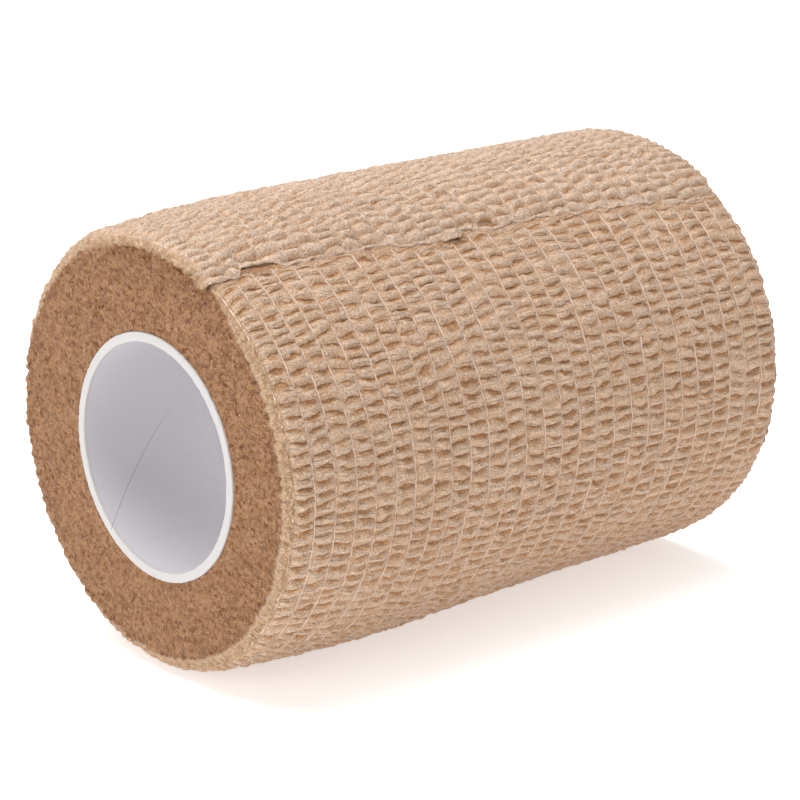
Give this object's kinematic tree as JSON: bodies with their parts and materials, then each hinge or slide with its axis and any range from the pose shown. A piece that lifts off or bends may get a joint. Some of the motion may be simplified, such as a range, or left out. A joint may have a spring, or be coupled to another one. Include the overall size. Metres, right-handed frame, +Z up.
{
  "type": "cohesive bandage roll",
  "caption": "Crinkled elastic cohesive bandage wound on a white paper tube, its loose end pressed down on the roll.",
  "frame": {"origin": "the level of the flat spot that the roll rests on, under the middle of its bounding box", "axes": "+X along the roll's axis, away from the end that the picture shows; +Z up; the loose end lies on top, its cut edge towards -Y"},
  "size_m": [0.0762, 0.052, 0.0522],
  "materials": {
    "crinkled_cloth": "matt crinkled non-woven with fine elastic threads",
    "white_paper": "smooth matt"
  },
  "bodies": {
    "root": {"bandage_roll": "crinkled_cloth", "loose_end": "crinkled_cloth", "core_tube": "white_paper"}
  },
  "joints": []
}
